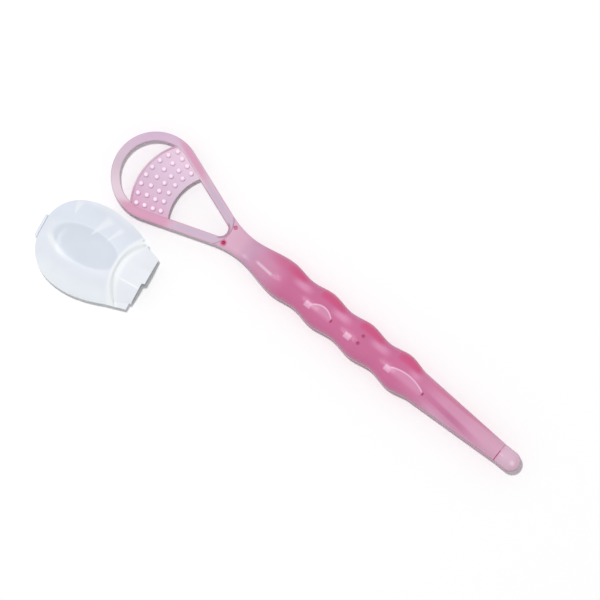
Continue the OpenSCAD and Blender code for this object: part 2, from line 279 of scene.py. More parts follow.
def slab(name, outlines, low, high, edge=0.0, steps=EDGE_STEPS):
    """A plate between two heights with rounded edges, from closed outlines (the others are holes)."""
    curve = bpy.data.curves.new(name, "CURVE")
    curve.dimensions = "2D"
    curve.fill_mode = "BOTH"
    for outline in outlines:
        spline = curve.splines.new("POLY")
        spline.points.add(len(outline) - 1)
        for point, (x, y) in zip(spline.points, outline):
            point.co = (x, y, 0, 1)
        spline.use_cyclic_u = True
    curve.extrude = (high - low) / 2 - edge
    curve.bevel_depth = edge
    curve.bevel_resolution = steps
    curve.offset = -edge
    source = bpy.data.objects.new(name, curve)
    bpy.context.scene.collection.objects.link(source)
    mesh = bpy.data.meshes.new_from_object(
        source.evaluated_get(bpy.context.evaluated_depsgraph_get()))
    bpy.data.objects.remove(source)
    mesh.transform(Matrix.Scale(MM, 4) @ Matrix.Translation((0, 0, (low + high) / 2)))
    piece = bpy.data.objects.new(name, mesh)
    bpy.context.scene.collection.objects.link(piece)
    soften(piece)
    return piece


def lathe(profile, count):
    """Points and faces of a solid turned about Z; the profile runs from axis to axis."""
    points = [(0, 0, profile[0][1])]
    for r, z in profile[1:-1]:
        points += [(r * math.cos(t), r * math.sin(t), z)
                   for t in np.linspace(0, 2 * math.pi, count, endpoint=False)]
    points.append((0, 0, profile[-1][1]))
    rings = len(profile) - 2
    last = len(points) - 1
    faces = [(0, 1 + (i + 1) % count, 1 + i) for i in range(count)]
    for k in range(rings - 1):
        low = 1 + k * count
        high = low + count
        faces += [(low + i, low + (i + 1) % count, high + (i + 1) % count, high + i)
                  for i in range(count)]
    low = 1 + (rings - 1) * count
    faces += [(low + i, low + (i + 1) % count, last) for i in range(count)]
    return points, faces


def cylinder(name, r, low, high, place, count=HOLE_SIDES):
    points, faces = lathe([(0, low), (r, low), (r, high), (0, high)], count)
    return mesh_object(name, points, faces, place=place)


def tube(rings):
    """Points and faces through rings of equal count, with both ends closed."""
    count = len(rings[0])
    points = [p for ring in rings for p in ring]
    faces = []
    for k in range(len(rings) - 1):
        here = k * count
        there = here + count
        faces += [(here + i, here + (i + 1) % count, there + (i + 1) % count, there + i)
                  for i in range(count)]
    faces.append(tuple(range(count - 1, -1, -1)))
    faces.append(tuple(range(len(points) - count, len(points))))
    return points, faces


def arc(cx, r, start, end, count):
    """Points on a circle about (cx, 0), with angles in radians."""
    return [(cx + r * math.cos(t), r * math.sin(t)) for t in np.linspace(start, end, count)]


def quarter(r, top, count):
    """A quarter circle from the side at radius r to its crown on the axis at top."""
    return [(r * math.cos(t), top - r + r * math.sin(t))
            for t in np.linspace(0, math.pi / 2, count)][:-1] + [(0, top)]


def ease(t):
    return t * t * (3 - 2 * t)


def clip(t):
    return min(1.0, max(0.0, t))


def mix(a, b, t):
    return a + (b - a) * t


# Materials
MIX_FACTOR, MIX_UNDER, MIX_OVER, MIX_COLOUR = 0, 6, 7, 2
PLASTIC_IOR = 1.46
CLOUD_SCALE = 110.0
TINT_DRIFT = 0.06
RIPPLE_DEPTH_M = 0.0003


def new_material(name):
    material = bpy.data.materials.new(name)
    material.use_nodes = True
    tree = material.node_tree
    return material, tree, tree.nodes["Principled BSDF"]


def add(tree, kind, **settings):
    node = tree.nodes.new(kind)
    for key, value in settings.items():
        if key in node.inputs:
            node.inputs[key].default_value = value
        else:
            setattr(node, key, value)
    return node


def link(tree, value, socket):
    """Feeds a socket from another node's output, or sets its number."""
    if isinstance(value, (int, float)):
        socket.default_value = value
    else:
        tree.links.new(value, socket)


def maths(tree, operation, a, b=0.0):
    node = add(tree, "ShaderNodeMath", operation=operation)
    link(tree, a, node.inputs[0])
    link(tree, b, node.inputs[1])
    return node.outputs[0]


def product(tree, first, *others):
    """Masks or numbers multiplied; the first one is a node's output."""
    for other in others:
        first = maths(tree, "MULTIPLY", first, other)
    return first


def slanted(tree, a, b, slope):
    """The first coordinate plus a share of the second."""
    return maths(tree, "ADD", a, product(tree, b, slope))


def smooth(tree, source, zero, one):
    """0 at zero and 1 at one, eased between them; either may be the larger."""
    node = add(tree, "ShaderNodeMapRange", interpolation_type="SMOOTHSTEP")
    link(tree, source, node.inputs["Value"])
    node.inputs["From Min"].default_value = min(zero, one)
    node.inputs["From Max"].default_value = max(zero, one)
    node.inputs["To Min"].default_value = float(zero > one)
    node.inputs["To Max"].default_value = float(zero < one)
    return node.outputs["Result"]


def band(tree, source, zero, one, *rest):
    """Fades from 0 at zero to 1 at one and, where two more places are given, back to 0."""
    mask = smooth(tree, source, zero, one)
    if rest:
        end_one, end_zero = rest
        mask = product(tree, mask, smooth(tree, source, end_zero, end_one))
    return mask


def linear(red, green, blue):
    """Scene-linear colour from 0 to 255 display values."""
    def one(v):
        v /= 255
        return v / 12.92 if v <= 0.04045 else ((v + 0.055) / 1.055) ** 2.4
    return one(red), one(green), one(blue)


def tint(tree, mask, under, shade):
    """Puts a shade over another one, or over the colours so far, where the mask is 1."""
    node = add(tree, "ShaderNodeMix", data_type="RGBA")
    tree.links.new(mask, node.inputs[MIX_FACTOR])
    if isinstance(under, tuple):
        node.inputs[MIX_UNDER].default_value = (*linear(*under), 1)
    else:
        tree.links.new(under, node.inputs[MIX_UNDER])
    node.inputs[MIX_OVER].default_value = (*linear(*shade), 1)
    return node.outputs[MIX_COLOUR]


def zone_mask(tree, places, bands):
    """1 where all bands are 1; each names a place and then the stops of its band."""
    return product(tree, *[band(tree, places[name], *stops) for name, *stops in bands])


def paint_zones(tree, colour, places, zones):
    """Lays zones over a colour: each has its shade, its strength and the bands that bound it."""
    for shade, strength, bands in zones:
        mask = product(tree, zone_mask(tree, places, bands), strength)
        colour = tint(tree, mask, colour, shade)
    return colour


def place_mm(tree, location=(0, 0, 0), turn=0.0):
    """X, Y and Z in millimetres, in the shared frame or in a frame turned about Z."""
    coords = add(tree, "ShaderNodeTexCoord")
    scale = add(tree, "ShaderNodeVectorMath", operation="SCALE")
    scale.inputs["Scale"].default_value = 1 / MM
    tree.links.new(coords.outputs["Object"], scale.inputs[0])
    frame_of = add(tree, "ShaderNodeMapping", vector_type="TEXTURE")
    frame_of.inputs["Location"].default_value = location
    frame_of.inputs["Rotation"].default_value = (0, 0, turn)
    tree.links.new(scale.outputs[0], frame_of.inputs["Vector"])
    split = add(tree, "ShaderNodeSeparateXYZ")
    tree.links.new(frame_of.outputs[0], split.inputs[0])
    return split.outputs


def away_from(tree, a, b, centre, radii=(1, 1)):
    """Distance from a centre, in shares of the radii."""
    squares = []
    for place, middle, radius in zip((a, b), centre, radii):
        share = maths(tree, "DIVIDE", maths(tree, "SUBTRACT", place, middle), radius)
        squares.append(product(tree, share, share))
    return maths(tree, "SQRT", maths(tree, "ADD", *squares))


def steepness(tree, zero, one):
    """0 on level surfaces and 1 on upright ones; the stops are heights of the surface's normal."""
    coords = add(tree, "ShaderNodeTexCoord")
    split = add(tree, "ShaderNodeSeparateXYZ")
    tree.links.new(coords.outputs["Normal"], split.inputs[0])
    return smooth(tree, maths(tree, "ABSOLUTE", split.outputs[2]), zero, one)


def colour_ramp(tree, source, tones):
    """Eases through tones, each with its place along the source."""
    low = tones[0][0]
    high = tones[-1][0]
    span = add(tree, "ShaderNodeMapRange")
    tree.links.new(source, span.inputs["Value"])
    span.inputs["From Min"].default_value = low
    span.inputs["From Max"].default_value = high
    ramp = add(tree, "ShaderNodeValToRGB")
    ramp.color_ramp.interpolation = "EASE"
    elements = ramp.color_ramp.elements
    while len(elements) < len(tones):
        elements.new(0.5)
    for element, (place, shade) in zip(elements, tones):
        element.position = (place - low) / (high - low)
        element.color = (*linear(*shade), 1)
    tree.links.new(span.outputs["Result"], ramp.inputs["Fac"])
    return ramp.outputs["Color"]


def finish_plastic(tree, shader, colour, transmission, roughness, scale=220, ripple=0.05):
    """A moulded surface: its tint drifts softly by place, and it ripples a little."""
    coords = add(tree, "ShaderNodeTexCoord")
    cloud = add(tree, "ShaderNodeTexNoise", Scale=CLOUD_SCALE, Detail=2.0)
    tree.links.new(coords.outputs["Object"], cloud.inputs["Vector"])
    drift = add(tree, "ShaderNodeHueSaturation")
    value = add(tree, "ShaderNodeMapRange")
    value.inputs["To Min"].default_value = 1 - TINT_DRIFT
    value.inputs["To Max"].default_value = 1 + TINT_DRIFT
    tree.links.new(cloud.outputs["Fac"], value.inputs["Value"])
    tree.links.new(value.outputs["Result"], drift.inputs["Value"])
    tree.links.new(colour, drift.inputs["Color"])
    tree.links.new(drift.outputs["Color"], shader.inputs["Base Color"])
    noise = add(tree, "ShaderNodeTexNoise", Scale=scale, Detail=1.0, Roughness=0.5)
    tree.links.new(coords.outputs["Object"], noise.inputs["Vector"])
    bump = add(tree, "ShaderNodeBump", Strength=ripple, Distance=RIPPLE_DEPTH_M)
    tree.links.new(noise.outputs["Fac"], bump.inputs["Height"])
    tree.links.new(bump.outputs["Normal"], shader.inputs["Normal"])
    shader.inputs["Transmission Weight"].default_value = transmission
    shader.inputs["Roughness"].default_value = roughness
    shader.inputs["IOR"].default_value = PLASTIC_IOR


# Grip colours, as display values with their places in millimetres
GRIP_TONES = [
    (25, (227, 182, 206)), (28, (227, 182, 206)), (36, (222, 175, 200)), (41, (206, 156, 186)),
    (47, (212, 146, 179)), (58, (209, 114, 157)), (103, (209, 114, 157)), (113, (211, 128, 166)),
    (125, (219, 152, 185)), (146, (221, 168, 195)), (149, (225, 187, 208)), (155, (225, 187, 208))]
BEADS = (48, 52, 109, 113)
SHAFT = (108, 118, 138, 147)
TAIL_SLOPE = 0.076
NECK_SLOPE = 0.08
CREST_LEAD_SHARE = 0.2
HIGHLIGHT_SPOTS_X = (66.6, 83.4, 100.6)
SEAM_X = TAIL_X + 0.1
GRIP_ZONES = [
    # painted reflections: pale patches between the beads
    ((226, 148, 186), 1, [("crest", 1.6, 6.2, 7.4, 12), ("y", 0.1, 2, 2.4, 4.3), ("x", *BEADS)]),
    # the first bead's deeper shoulder
    ((210, 110, 152), 0.8, [("y", 0.8, 3.8), ("x", 42, 52, 56, 62)]),
    # painted shade: deep pink crescents along one side of the beads, where light refracts at their edges
    ((214, 92, 139), 1, [("y", 2.3, 4.1), ("crest", -4.9, -1.7, 5.1, 8.3), ("x", *BEADS),
                         ("x", 52, 58)]),
    # painted light and shade of refraction along the tail: a deeper edge on one side, a darker middle
    # over the hollow core, and a pale strip below
    ((217, 130, 166), 1, [("y", 2.4, 3.6), ("x", *SHAFT)]),
    ((203, 123, 162), 1, [("tail_line", 6.6, 7.8, 8.6, 9.8), ("x", *SHAFT), ("x", 144, 126)]),
    ((220, 168, 198), 1, [("tail_line", 6.6, 5.4), ("x", 112, 126, 140, 147)]),
    # a painted highlight streak on the neck
    ((233, 192, 215), 1, [("neck_line", 1.55, 2.1, 2.5, 3.05), ("x", 43.4, 45.2, 50, 51.8)])]
# Painted highlights: small pale spots on three beads
GRIP_ZONES += [((232, 174, 205), 1, [("x", x - 1.6, x - 0.9, x + 0.9, x + 1.6),
                                     ("y", -3.1, -2.5, -1.1, -0.5)]) for x in HIGHLIGHT_SPOTS_X]
TAIL_ZONES = [
    # a painted glint on the round end, and painted shade in the seam's groove before it, on one half
    # only
    ((244, 212, 228), 1, [("x", 151.5, 152.7, 152.9, 154.1), ("y", -1.6, -0.5, -0.3, 0.8)]),
    ((196, 104, 146), 1, [("x", SEAM_X - 0.3, SEAM_X - 0.1, SEAM_X + 0.1, SEAM_X + 0.3),
                          ("y", 0.8, 0.2)])]
# Painted highlights that arch over beads: start, end and how high the middle is
HIGHLIGHT_ARCHES = [((67.6, -0.7), (75.8, -1.2), 0.8), ((101, -0.9), (114.8, -1.0), 0.7)]
ARCH_PAINTED_LIGHT = (223, 152, 186)
ARCH_HIGHLIGHT = (238, 186, 214)
ARCH_END_PAINTED_SHADE = (168, 60, 102)
# Round spots, painted shade in the pits and pink halos about the pegs: centre, edge, core and shade
PIT_PAINTED_SHADE = (192, 86, 132)
HALO_SHADE = (210, 96, 138)
GRIP_SPOTS = [((MARK_X, -MARK_Y), 2.2 * MARK_R, 0.8 * MARK_R, PIT_PAINTED_SHADE),
              ((MARK_X, MARK_Y), 2.2 * MARK_R, 0.8 * MARK_R, PIT_PAINTED_SHADE),
              ((PEG_X, -PEG_Y), 1.5, 0.6, HALO_SHADE),
              ((PEG_X, PEG_Y), 1.0, 0.4, HALO_SHADE)]
# Painted shade: the grip's upright sides are deeper, but not the edges within the neck
GRIP_SIDE_PAINTED_SHADE = (184, 120, 154)
GRIP_UPRIGHT = (0.6, 0.15)
GRIP_SIDE_SLOPE = 0.19
GRIP_SIDE_STARTS = [("x", 35, 37), ("side_line", 10.8, 11.2)]


def paint_highlight_arch(tree, colour, x, y, start, end, middle):
    """A painted highlight arching over a bead, the painted light inside it, deeper than the highlight,
    and the small painted shade mark that it ends in.
    """
    mid_x = (start[0] + end[0]) / 2
    mid_y = (start[1] + end[1]) / 2
    share = maths(tree, "DIVIDE", maths(tree, "SUBTRACT", x, mid_x), (end[0] - start[0]) / 2)
    arch = product(tree, maths(tree, "SUBTRACT", 1.0, product(tree, share, share)), middle - mid_y)
    places = {"x": x, "y": y, "share": maths(tree, "ABSOLUTE", share),
              "gap": maths(tree, "SUBTRACT", y, maths(tree, "ADD", arch, mid_y))}
    span = ("share", 1.02, 0.9)
    inside = [("gap", 0.3, -0.5), ("y", start[1] - 2.4, start[1] - 0.2), span]
    line = [("gap", -0.42, -0.12, 0.12, 0.42), span]
    mark = [("x", end[0] - 0.2, end[0] + 0.2, end[0] + 0.4, end[0] + 0.8),
            ("y", end[1] - 1.0, end[1] - 0.5, end[1] + 0.1, end[1] + 0.6)]
    return paint_zones(tree, colour, places, [
        (ARCH_PAINTED_LIGHT, 0.75, inside), (ARCH_HIGHLIGHT, 1, line), (ARCH_END_PAINTED_SHADE, 1, mark)])


def past_crest(tree, x):
    """How far x lies past a bead's crest; within a share of the pitch before it, below 0."""
    step = maths(tree, "DIVIDE", maths(tree, "SUBTRACT", x, BEAD_X), BEAD_PITCH)
    past = maths(tree, "FRACT", maths(tree, "ADD", step, 1 + CREST_LEAD_SHARE))
    return maths(tree, "SUBTRACT", product(tree, past, BEAD_PITCH), CREST_LEAD_SHARE * BEAD_PITCH)


def grip_material():
    material, tree, shader = new_material("grip_plastic")
    x, y, _ = place_mm(tree)
    places = {"x": x, "y": y, "crest": past_crest(tree, x),
              "tail_line": slanted(tree, y, x, TAIL_SLOPE),
              "neck_line": slanted(tree, y, x, NECK_SLOPE),
              "side_line": slanted(tree, maths(tree, "ABSOLUTE", y), x, GRIP_SIDE_SLOPE)}
    colour = colour_ramp(tree, x, GRIP_TONES)
    colour = paint_zones(tree, colour, places, GRIP_ZONES)
    # Painted highlight arches over two of the beads
    for start, end, middle in HIGHLIGHT_ARCHES:
        colour = paint_highlight_arch(tree, colour, x, y, start, end, middle)
    colour = paint_zones(tree, colour, places, TAIL_ZONES)
    # Painted shade in the pits, and pink halos about the pegs
    for centre, edge, core, shade in GRIP_SPOTS:
        colour = tint(tree, smooth(tree, away_from(tree, x, y, centre), edge, core), colour, shade)
    # Painted shade on the grip's upright sides
    starts = [zone_mask(tree, places, [start]) for start in GRIP_SIDE_STARTS]
    sides = product(tree, steepness(tree, *GRIP_UPRIGHT), maths(tree, "MAXIMUM", *starts))
    colour = tint(tree, sides, colour, GRIP_SIDE_PAINTED_SHADE)
    finish_plastic(tree, shader, colour, transmission=0.1, roughness=0.2, ripple=0.01)
    return material


# Head colours: the ring changes its tint across, along this direction in X and Y
ACROSS = (-0.635, 0.773)
HEAD_TONES = [(-16, (222, 178, 202)), (-4, (233, 210, 223)), (6, (218, 195, 211)),
              (16, (216, 184, 213))]
ARM_BAND = ("x", 10, 18)
ARM_MID = RING_R - 1.7
CHEEK_SHADE = (219, 161, 190)
PLATE_BANDS = [("within", 12.3, 11.9), ("x", -8, -7, 9.4, 10.2)]
HEAD_ZONES = [
    # the arms and the lilac line along their middle
    ((218, 184, 204), 1, [ARM_BAND]),
    ((207, 186, 208), 1, [ARM_BAND, ("out", ARM_MID - 1.1, ARM_MID - 0.3,
                                     ARM_MID + 0.3, ARM_MID + 1.1)]),
    # deeper cheeks beside the plate: wide on one side, narrow on the other
    (CHEEK_SHADE, 1, [("out", 10.2, 12), ("y", -1, -3), ("x", -7, -1, 11.5, 14.5)]),
    (CHEEK_SHADE, 1, [("out", 12.1, 13.1, 14.3, 15.3), ("y", 1, 3), ("x", -5, 3, 10, 17)]),
    # the plate, and its deeper ends
    ((223, 192, 210), 1, PLATE_BANDS),
    ((214, 166, 194), 1, PLATE_BANDS + [("wide", 5, 10)])]
# Painted shade on the head's upright edges
HEAD_SIDE_PAINTED_SHADE = (166, 122, 148)
HEAD_UPRIGHT = (0.75, 0.15)
RING_PART = (6, 4)
# Painted shade along the rim at the window's rounded end
WINDOW_RIM_SHADE_ZONE = ((186, 146, 170), 1, [
    ("end", WINDOW_END_R - 0.2, WINDOW_END_R + 0.1, WINDOW_END_R + 0.6, WINDOW_END_R + 0.9),
    ("x", WINDOW_END_X + 0.6, WINDOW_END_X + 1.8)])


def head_places(tree, x, y):
    """Places on the head: out is across the arms, and within is across ring or arms."""
    wide = maths(tree, "ABSOLUTE", y)
    out = maths(tree, "ADD", product(tree, x, math.sin(ARM_ANGLE)),
                product(tree, wide, math.cos(ARM_ANGLE)))
    around = product(tree, away_from(tree, x, y, (0, 0)), smooth(tree, x, *RING_PART))
    return {"x": x, "y": y, "wide": wide, "out": out, "within": maths(tree, "MAXIMUM", out, around),
            "end": away_from(tree, x, y, (WINDOW_END_X, 0)),
            "step": away_from(tree, x, y, (STEP_X, 0))}


def head_material():
    material, tree, shader = new_material("head_plastic")
    x, y, _ = place_mm(tree)
    places = head_places(tree, x, y)
    across = maths(tree, "ADD", product(tree, x, ACROSS[0]), product(tree, y, ACROSS[1]))
    colour = colour_ramp(tree, across, HEAD_TONES)
    colour = paint_zones(tree, colour, places, HEAD_ZONES)
    # Painted shade on the head's upright edges, away from the plate
    off_plate = maths(tree, "SUBTRACT", 1.0, zone_mask(tree, places, PLATE_BANDS))
    before_lip = maths(tree, "MAXIMUM", band(tree, places["step"], STEP_R - 0.2, STEP_R - 0.5),
                       band(tree, x, WINDOW_END_X, WINDOW_END_X - 2))
    sides = product(tree, steepness(tree, *HEAD_UPRIGHT), off_plate, before_lip)
    colour = tint(tree, sides, colour, HEAD_SIDE_PAINTED_SHADE)
    # Painted shade along the window end's rim
    colour = paint_zones(tree, colour, places, [WINDOW_RIM_SHADE_ZONE])
    finish_plastic(tree, shader, colour, transmission=0.1, roughness=0.2)
    return material


# Peg and pad colours: the peg towards the cap is deep red, and the other one is paler
PEG_DEEP = (180, 44, 84)
PEG_PALE = (206, 120, 154)
PAD_TONES = [(-13, (210, 155, 184)), (-9, (210, 172, 196)), (-4, (210, 182, 204)),
             (4, (215, 192, 212)), (13, (225, 199, 216))]
NUB_SHADE = (255, 229, 246)
NUB_TOP = PLATE_T + PAD_T + NUB_H


def peg_material():
    material, tree, shader = new_material("peg_plastic")
    _, y, _ = place_mm(tree)
    colour = tint(tree, smooth(tree, y, -1, 1), PEG_DEEP, PEG_PALE)
    finish_plastic(tree, shader, colour, transmission=0.0, roughness=0.3)
    return material


def pad_material():
    material, tree, shader = new_material("pad_plastic")
    _, y, z = place_mm(tree)
    colour = colour_ramp(tree, y, PAD_TONES)
    colour = tint(tree, smooth(tree, z, NUB_TOP - 1.8, NUB_TOP - 0.7), colour, NUB_SHADE)
    finish_plastic(tree, shader, colour, transmission=0.0, roughness=0.4)
    return material


# Cap colours: oval is 1 at the rim of the dome's face, and reach counts from the shoulder's centre
OVAL_MID = (16, 0.6)
OVAL_RADII = (12, 6.2)
CAP_SHADE = (234, 239, 248)
FACE_SHADE = (218, 225, 236)
CAP_ZONES = [
    # the paler skirt, the bluer far side and a painted highlight along the face's rim
    ((241, 246, 252), 1, [("oval", 1.4, 2.3)]),
    ((229, 235, 246), 1, [("oval", 1, 1.15, 2, 2.6), ("v", 1, 6)]),
    ((244, 248, 252), 1, [("oval", 0.93, 1.06, 1.12, 1.25), ("v", 0, -2.5), ("u", 13, 6)]),
    # the neck, painted light in a bright band at its root and a painted highlight along its ridge
    ((240, 244, 250), 1, [("reach", SHOULDER_R + 1.2, SHOULDER_R)]),
    ((248, 252, 255), 1, [("reach", SHOULDER_R - 1, SHOULDER_R + 0.4, SHOULDER_R + 2.4,
                           SHOULDER_R + 3.8)]),
    ((252, 253, 255), 1, [("v", -3.7, -3.3, -3.1, -2.7), ("u", 30.5, 32.5)])]
# Painted reflections on the dome, each a pale wedge: start, end and width
DOME_REFLECTIONS = [((15.6, 4.7), (19.2, 12.7), 1.6), ((21.3, 5.5), (24.2, 11.3), 0.8),
          ((7.4, 8.5), (7.1, 13.3), 1.1)]
DOME_REFLECTION_SHADE = (249, 252, 255)
WEDGE_STRENGTH = 0.5
WEDGE_TIP_HALF = 0.25


def wedge(tree, u, v, start, end, width):
    """A narrow wedge from start to end, in the cap's own millimetres."""
    length = math.dist(start, end)
    cos = (end[0] - start[0]) / length
    sin = (end[1] - start[1]) / length
    from_u = maths(tree, "SUBTRACT", u, start[0])
    from_v = maths(tree, "SUBTRACT", v, start[1])
    along = maths(tree, "ADD", product(tree, from_u, cos), product(tree, from_v, sin))
    aside = maths(tree, "SUBTRACT", product(tree, from_u, sin), product(tree, from_v, cos))
    half = maths(tree, "ADD", product(tree, along, width / length), WEDGE_TIP_HALF)
    share = maths(tree, "DIVIDE", maths(tree, "ABSOLUTE", aside), half)
    return product(tree, smooth(tree, share, 1.3, 0.4),
                   band(tree, along, -0.6, 1.2, length - 1, length + 1))


def cap_material():
    material, tree, shader = new_material("cap_plastic")
    u, v, _ = place_mm(tree, CAP_SPOT, CAP_TURN)
    oval = away_from(tree, u, v, OVAL_MID, OVAL_RADII)
    places = {"u": u, "v": v, "oval": oval, "reach": away_from(tree, u, v, (SHOULDER_MID, 0))}
    colour = tint(tree, smooth(tree, oval, 1.08, 0.9), CAP_SHADE, FACE_SHADE)
    colour = paint_zones(tree, colour, places, CAP_ZONES)
    # Painted reflections on the dome
    for start, end, width in DOME_REFLECTIONS:
        mask = product(tree, wedge(tree, u, v, start, end, width), WEDGE_STRENGTH)
        colour = tint(tree, mask, colour, DOME_REFLECTION_SHADE)
    finish_plastic(tree, shader, colour, transmission=0.1, roughness=0.16, scale=120)
    return material


GRIP = grip_material()
HEAD = head_material()
PEG = peg_material()
PAD = pad_material()
CAP = cap_material()


# Grip
def grip_stations():
    """Place, half width, half height, corner power, eased or straight."""
    neck = (NECK_W / 2, (NECK_T + FLOOR_DIP) / 2, NECK_CORNER, True)
    rows = [(HANDLE_X, *neck), (NECK_X, *neck)]
    for i, share in enumerate(BEAD_SHARES):
        x = BEAD_X + i * BEAD_PITCH
        rows.append((x, BEAD_W * share / 2, (BEAD_H + FLOOR_DIP) / 2, BEAD_CORNER, True))
        if i < len(BEAD_SHARES) - 1:
            rows.append((x + BEAD_PITCH / 2, WAIST_W / 2, WAIST_H / 2, BEAD_CORNER, True))
    rows.append((x + TAIL_FALL, TAIL_ROOT_W / 2, WAIST_H / 2, BEAD_CORNER, False))
    rows.append((TAIL_X, TAIL_D / 2, TAIL_D / 2, TAIL_CORNER, False))
    return rows


STATIONS = grip_stations()


def head_line(inset, x):
    """Half width of the head's outline at x where the straight sides run."""
    return (RING_R - inset - x * math.sin(ARM_ANGLE)) / math.cos(ARM_ANGLE)


def root_half(x):
    """Half width of the neck, which runs on from the arms' outer edges."""
    length = NECK_X - HANDLE_X
    t = (x - HANDLE_X) / length
    wide = head_line(0, HANDLE_X) - NECK_W / 2
    return NECK_W / 2 + wide * (1 - ease(t)) - math.tan(ARM_ANGLE) * length * t * (1 - t) ** 2


def grip_at(x):
    """Half width, half height and corner power of the grip at x."""
    i = next((k for k in range(1, len(STATIONS)) if x <= STATIONS[k][0]), len(STATIONS) - 1)
    start, *shape, eased = STATIONS[i - 1]
    end, *next_shape, _ = STATIONS[i]
    t = clip((x - start) / (end - start))
    if eased:
        t = ease(t)
    half_w, half_h, corner = [mix(a, b, t) for a, b in zip(shape, next_shape)]
    return root_half(x) if x < NECK_X else half_w, half_h, corner


def grip_section(x):
    """Points around the grip at x, flat where it lies on the floor."""
    half_w, half_h, corner = grip_at(x)
    floor = 0 if x <= NECK_X else REST_Z
    ring = []
    for t in np.linspace(0, 2 * math.pi, GRIP_SIDES, endpoint=False):
        across = math.cos(t)
        up = math.sin(t)
        y = half_w * math.copysign(abs(across) ** (2 / corner), across)
        z = GRIP_MID + half_h * math.copysign(abs(up) ** (2 / corner), up)
        ring.append((x, y, max(floor, z)))
    return ring


def tongue_outline(gap):
    """The head's tongue, wide at the pegs and narrow behind them, grown by a gap."""
    start = WINDOW_END_X - WINDOW_END_R
    wide = WIDE_END + gap
    half = TANG_W / 2 + gap
    end = WIDE_END + TANG_L + gap
    inset = TONGUE_INSET - gap
    right = [(start, head_line(inset, start)), (wide, head_line(inset, wide)), (wide, half), (end, half)]
    return right + [(x, -y) for x, y in reversed(right)]


def along_grip(x):
    """Lays a turned piece along the grip, with its foot at x."""
    return Matrix.Translation((x, 0, GRIP_MID)) @ Matrix.Rotation(math.pi / 2, 4, "Y")


def peg_hole(side):
    place = Matrix.Translation((PEG_X, side * PEG_Y, 0))
    return cylinder("peg_hole", PEG_R + FIT_GAP, -CUT_OVER, NECK_T + CUT_OVER, place)


def bead_mark(side):
    place = Matrix.Translation((MARK_X, side * MARK_Y, 0))
    return cylinder("mark", MARK_R, GRIP_MID + BEAD_H / 2 - MARK_DEPTH, BEAD_H, place)


def make_handle():
    xs = np.linspace(HANDLE_X, TAIL_X, GRIP_STEPS)
    points, faces = tube([grip_section(x) for x in xs])
    handle = mesh_object("handle_skin", points, faces, "scraper", "grip_plastic")
    cutters = [cylinder("step", STEP_R + SEAT_GAP, -CUT_OVER, NECK_T + CUT_OVER,
                        Matrix.Translation((STEP_X, 0, 0)), STEP_SIDES),
               slab("pocket", [tongue_outline(SEAT_GAP)], -CUT_OVER, TONGUE_T + SEAT_GAP),
               cylinder("core", CORE_R, 0, TAIL_X + CUT_OVER - CORE_X, along_grip(CORE_X))]
    for side in (-1, 1):
        cutters += [peg_hole(side), bead_mark(side)]
    combine(handle, cutters, "DIFFERENCE")
    soften(handle)
    paint(handle, GRIP)
    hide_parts("handle")


def tail_profile():
    """Half profile of the stem, the groove at the seam and the round end."""
    r = TAIL_D / 2
    stem = [(0, -STEM_L), (CORE_R - STEM_EDGE, -STEM_L), (CORE_R - FIT_GAP, STEM_EDGE - STEM_L),
            (CORE_R - FIT_GAP, SEAT_GAP)]
    groove = [(r - GROOVE_DEPTH, SEAT_GAP), (r - GROOVE_DEPTH, GROOVE_END),
              (r - FIT_GAP, GROOVE_END + GROOVE_FLANK), (r, GROOVE_END + 2 * GROOVE_FLANK)]
    return stem + groove + quarter(r, TAIL_END, TAIL_ARC)


def make_tail():
    points, faces = lathe(tail_profile(), TAIL_SIDES)
    tail = mesh_object("tail_end", points, faces, "scraper", "grip_plastic", along_grip(TAIL_X))
    soften(tail)
    paint(tail, GRIP)
    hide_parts("tail_plug")


# Head
def step_half(x):
    """Half width of the step's circle at x."""
    return math.sqrt(max(0, STEP_R ** 2 - (x - STEP_X) ** 2))


def head_outer():
    """The ring's arc and both arms, ending in the step's arc."""
    ring = arc(0, RING_R, TOUCH_ANGLE, 2 * math.pi - TOUCH_ANGLE, RING_ARC)
    xs = np.linspace(STEP_X, STEP_X + STEP_R, MEET_STEPS)
    meet = next(x for x in xs if x > WINDOW_END_X and step_half(x) <= head_line(0, x))
    half = math.acos((meet - STEP_X) / STEP_R)
    return ring + arc(STEP_X, STEP_R, -half, half, STEP_ARC)


def head_hole():
    """The open inside of ring and arms."""
    r = RING_R - ARM_W
    ring = arc(0, RING_R - RING_BAND, TOUCH_ANGLE + HOLE_TURN,
               2 * math.pi - TOUCH_ANGLE - HOLE_TURN, HOLE_ARC)
    line = (r * math.cos(TOUCH_ANGLE), r * math.sin(TOUCH_ANGLE))
    end = arc(WINDOW_END_X, WINDOW_END_R, -TOUCH_ANGLE, TOUCH_ANGLE, WINDOW_ARC)
    return [line] + ring + [(line[0], -line[1])] + end


def side_point(inset, angle):
    """A point of the head's outline, moved inwards by inset, at an angle about the ring's centre."""
    r = RING_R - inset
    if angle < TOUCH_ANGLE:
        r /= math.cos(TOUCH_ANGLE - angle)
    return r * math.cos(angle), r * math.sin(angle)


def angle_where(inset, centre, radius, start, end):
    """The first angle from start to end at which the inset outline is inside a circle."""
    for angle in np.linspace(start, end, SEARCH_STEPS):
        x, y = side_point(inset, angle)
        if math.hypot(x - centre, y) <= radius:
            return angle
    return end


def crescent_side(inset, front_inset, rear_inset):
    """Upper side of the crescent along the inset outline, from the front edge to the rear edge."""
    front = angle_where(inset, PLATE_FRONT_MID, PLATE_FRONT_R - front_inset, math.pi,
                        FRONT_SEARCH_END)
    rear = angle_where(inset, PLATE_REAR_MID, PLATE_REAR_R + rear_inset, front,
                       REAR_SEARCH_END)
    return [side_point(inset, a) for a in np.linspace(front, rear, PLATE_SIDE_ARC)]


